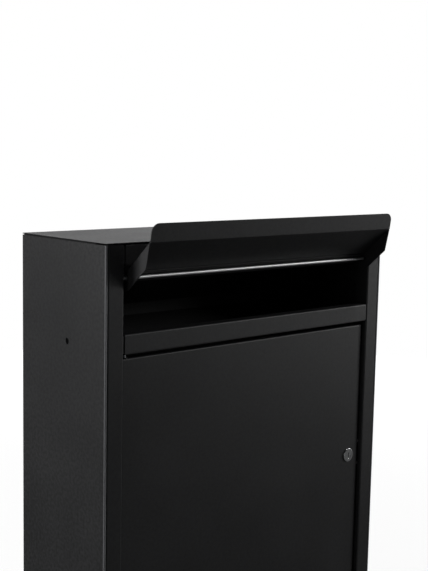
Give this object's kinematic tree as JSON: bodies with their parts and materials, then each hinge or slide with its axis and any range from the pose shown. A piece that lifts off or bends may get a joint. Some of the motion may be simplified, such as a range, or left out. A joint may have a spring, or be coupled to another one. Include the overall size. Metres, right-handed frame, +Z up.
{
  "type": "parcel drop box",
  "caption": "Sheet-metal parcel box with a lipped flap swung up on a cross rod over a wide deposit slot, and a recessed, cam-locked collection door below.",
  "frame": {"origin": "middle of the cabinet's base, on the floor", "axes": "+X towards the lock side, +Y from the front to the wall behind, +Z up; the flap and the door face -Y"},
  "size_m": [0.6, 0.267, 0.8302],
  "materials": {
    "cabinet_paint": "fine-textured satin black powder coat",
    "flap_paint": "fine-textured satin black powder coat",
    "bright_steel": "ground bright steel rod",
    "zinc_hardware": "zinc plated",
    "zinc_sheet": "zinc-coated sheet",
    "lock_chrome": "polished chrome plate",
    "black_rubber": "matt",
    "black_nylon": "satin",
    "floor_foam": "matt closed-cell foam"
  },
  "bodies": {
    "cabinet": {"side_panel_left": "cabinet_paint", "side_panel_right": "cabinet_paint", "back_panel": "cabinet_paint", "top_panel": "cabinet_paint", "bottom_panel": "cabinet_paint", "jamb_left": "cabinet_paint", "jamb_right": "cabinet_paint", "header_rail": "cabinet_paint", "crossbar": "cabinet_paint", "sill_rail": "cabinet_paint", "rail_clips": "cabinet_paint", "flap_rod": "bright_steel", "rod_rings": "zinc_hardware", "flap_buffers": "black_rubber", "door_pins": "zinc_hardware", "strike_plate": "zinc_sheet", "strike_screws": "zinc_hardware", "door_stops": "zinc_sheet", "door_buffers": "black_rubber", "chute_plate": "cabinet_paint", "chute_angles": "cabinet_paint", "floor_mat": "floor_foam"},
    "flap": {"flap_panel": "flap_paint", "flap_seal": "black_rubber", "flap_bushings": "black_nylon"},
    "door": {"door_panel": "cabinet_paint", "door_stiffeners": "cabinet_paint", "hinge_plates": "zinc_sheet", "door_bushings": "black_nylon", "lock_body": "lock_chrome", "lock_nut": "zinc_hardware"},
    "lock": {"lock_plug": "lock_chrome", "lock_cam": "zinc_sheet", "cam_screw": "zinc_hardware"}
  },
  "joints": [
    {"name": "flap_hinge", "type": "hinge", "parent": "cabinet", "child": "flap", "pos_m": [0, -0.1005, 0.7484], "axis": [1, 0, 0], "range_deg": [0, 131]},
    {"name": "door_hinge", "type": "hinge", "parent": "cabinet", "child": "door", "pos_m": [-0.2565, -0.0945, 0.3337], "axis": [0, 0, -1], "range_deg": [0, 105]},
    {"name": "lock_turn", "type": "hinge", "parent": "door", "child": "lock", "pos_m": [0.2385, -0.1005, 0.4], "axis": [0, 1, 0], "range_deg": [0, 90]}
  ]
}
